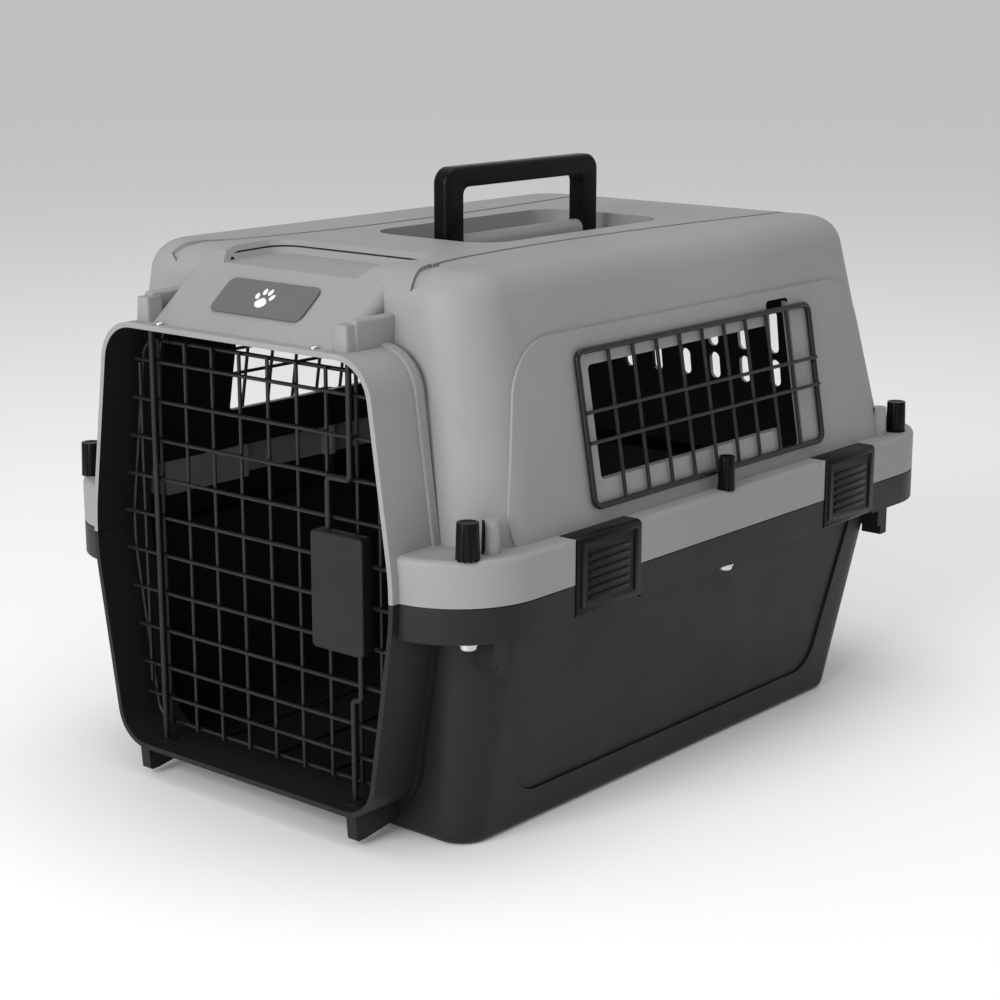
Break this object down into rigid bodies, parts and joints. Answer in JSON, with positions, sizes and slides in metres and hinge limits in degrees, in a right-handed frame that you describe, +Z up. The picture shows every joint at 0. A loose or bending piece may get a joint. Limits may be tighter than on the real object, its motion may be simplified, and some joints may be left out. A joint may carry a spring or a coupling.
{
  "type": "pet transport carrier",
  "caption": "Small hard-sided pet carrier: a dark lower shell and a grey upper shell clipped and bolted at a wide rim, with a hinged wire door, wire window grilles and a folding carry handle.",
  "frame": {"origin": "middle of the carrier's footprint, on the floor", "axes": "+Z up, the door faces -Y, +X is the latch side's right-hand wall as seen from behind the door"},
  "size_m": [0.334, 0.481, 0.3465],
  "materials": {
    "lower_plastic": "satin",
    "upper_plastic": "satin",
    "black_plastic": "satin",
    "badge_grey": "satin",
    "door_wire": "gloss",
    "grille_coat": "satin",
    "plain_steel": "satin"
  },
  "bodies": {
    "shells": {"lower_shell": "lower_plastic", "upper_shell": "upper_plastic", "badge_plate": "badge_grey", "lip_rivets": "plain_steel", "right_window_grille": "grille_coat", "left_window_grille": "grille_coat", "grille_pins": "grille_coat", "rim_bolts": "plain_steel", "rim_washers": "plain_steel", "clip_pins": "plain_steel", "handle_pins": "black_plastic"},
    "door": {"door_cross_wires": "door_wire", "door_upright_wires": "door_wire", "door_edge_wire": "door_wire", "door_hinge_rod": "door_wire", "latch_housing": "black_plastic", "upper_latch_spring": "plain_steel", "lower_latch_spring": "plain_steel"},
    "upper_rod": {"upper_latch_rod": "door_wire"},
    "lower_rod": {"lower_latch_rod": "door_wire"},
    "handle": {"carry_handle": "black_plastic"},
    "clip_front_right": {"clip_front_right": "black_plastic"},
    "clip_front_left": {"clip_front_left": "black_plastic"},
    "clip_rear_right": {"clip_rear_right": "black_plastic"},
    "clip_rear_left": {"clip_rear_left": "black_plastic"},
    "nut_front_right": {"nut_front_right": "black_plastic"},
    "nut_front_left": {"nut_front_left": "black_plastic"},
    "nut_middle_right": {"nut_middle_right": "black_plastic"},
    "nut_middle_left": {"nut_middle_left": "black_plastic"},
    "nut_rear_right": {"nut_rear_right": "black_plastic"},
    "nut_rear_left": {"nut_rear_left": "black_plastic"}
  },
  "joints": [
    {"name": "door_hinge", "type": "hinge", "parent": "shells", "child": "door", "pos_m": [-0.0765, -0.2276, 0.1425], "axis": [0, 0, 1], "range_deg": [-120, 0]},
    {"name": "upper_rod_slide", "type": "slide", "parent": "door", "child": "upper_rod", "axis": [0, 0, 1], "range_m": [0, 0.008], "deforming": ["upper_latch_spring"]},
    {"name": "lower_rod_slide", "type": "slide", "parent": "door", "child": "lower_rod", "axis": [0, 0, -1], "range_m": [0, 0.008], "deforming": ["lower_latch_spring"]},
    {"name": "handle_fold", "type": "hinge", "parent": "shells", "child": "handle", "pos_m": [0, 0, 0.3005], "axis": [0, 1, 0], "range_deg": [-88, 88]},
    {"name": "clip_front_right_hinge", "type": "hinge", "parent": "shells", "child": "clip_front_right", "pos_m": [0.1639, -0.1215, 0.1261], "axis": [0, 1, 0], "range_deg": [0, 110]},
    {"name": "clip_front_left_hinge", "type": "hinge", "parent": "shells", "child": "clip_front_left", "pos_m": [-0.1639, -0.1215, 0.1261], "axis": [0, -1, 0], "range_deg": [0, 110]},
    {"name": "clip_rear_right_hinge", "type": "hinge", "parent": "shells", "child": "clip_rear_right", "pos_m": [0.1639, 0.1245, 0.1261], "axis": [0, 1, 0], "range_deg": [0, 110]},
    {"name": "clip_rear_left_hinge", "type": "hinge", "parent": "shells", "child": "clip_rear_left", "pos_m": [-0.1639, 0.1245, 0.1261], "axis": [0, -1, 0], "range_deg": [0, 110]},
    {"name": "nut_front_right_turn", "type": "hinge", "parent": "shells", "child": "nut_front_right", "pos_m": [0.1475, -0.216, 0.1775], "axis": [0, 0, 1], "continuous": true},
    {"name": "nut_front_left_turn", "type": "hinge", "parent": "shells", "child": "nut_front_left", "pos_m": [-0.1475, -0.216, 0.1775], "axis": [0, 0, 1], "continuous": true},
    {"name": "nut_middle_right_turn", "type": "hinge", "parent": "shells", "child": "nut_middle_right", "pos_m": [0.161, -0.0045, 0.1775], "axis": [0, 0, 1], "continuous": true},
    {"name": "nut_middle_left_turn", "type": "hinge", "parent": "shells", "child": "nut_middle_left", "pos_m": [-0.161, -0.0045, 0.1775], "axis": [0, 0, 1], "continuous": true},
    {"name": "nut_rear_right_turn", "type": "hinge", "parent": "shells", "child": "nut_rear_right", "pos_m": [0.1535, 0.2, 0.1775], "axis": [0, 0, 1], "continuous": true},
    {"name": "nut_rear_left_turn", "type": "hinge", "parent": "shells", "child": "nut_rear_left", "pos_m": [-0.1535, 0.2, 0.1775], "axis": [0, 0, 1], "continuous": true}
  ],
  "couplings": [
    {"joint": "lower_rod_slide", "follows": "upper_rod_slide", "ratio": 1}
  ]
}
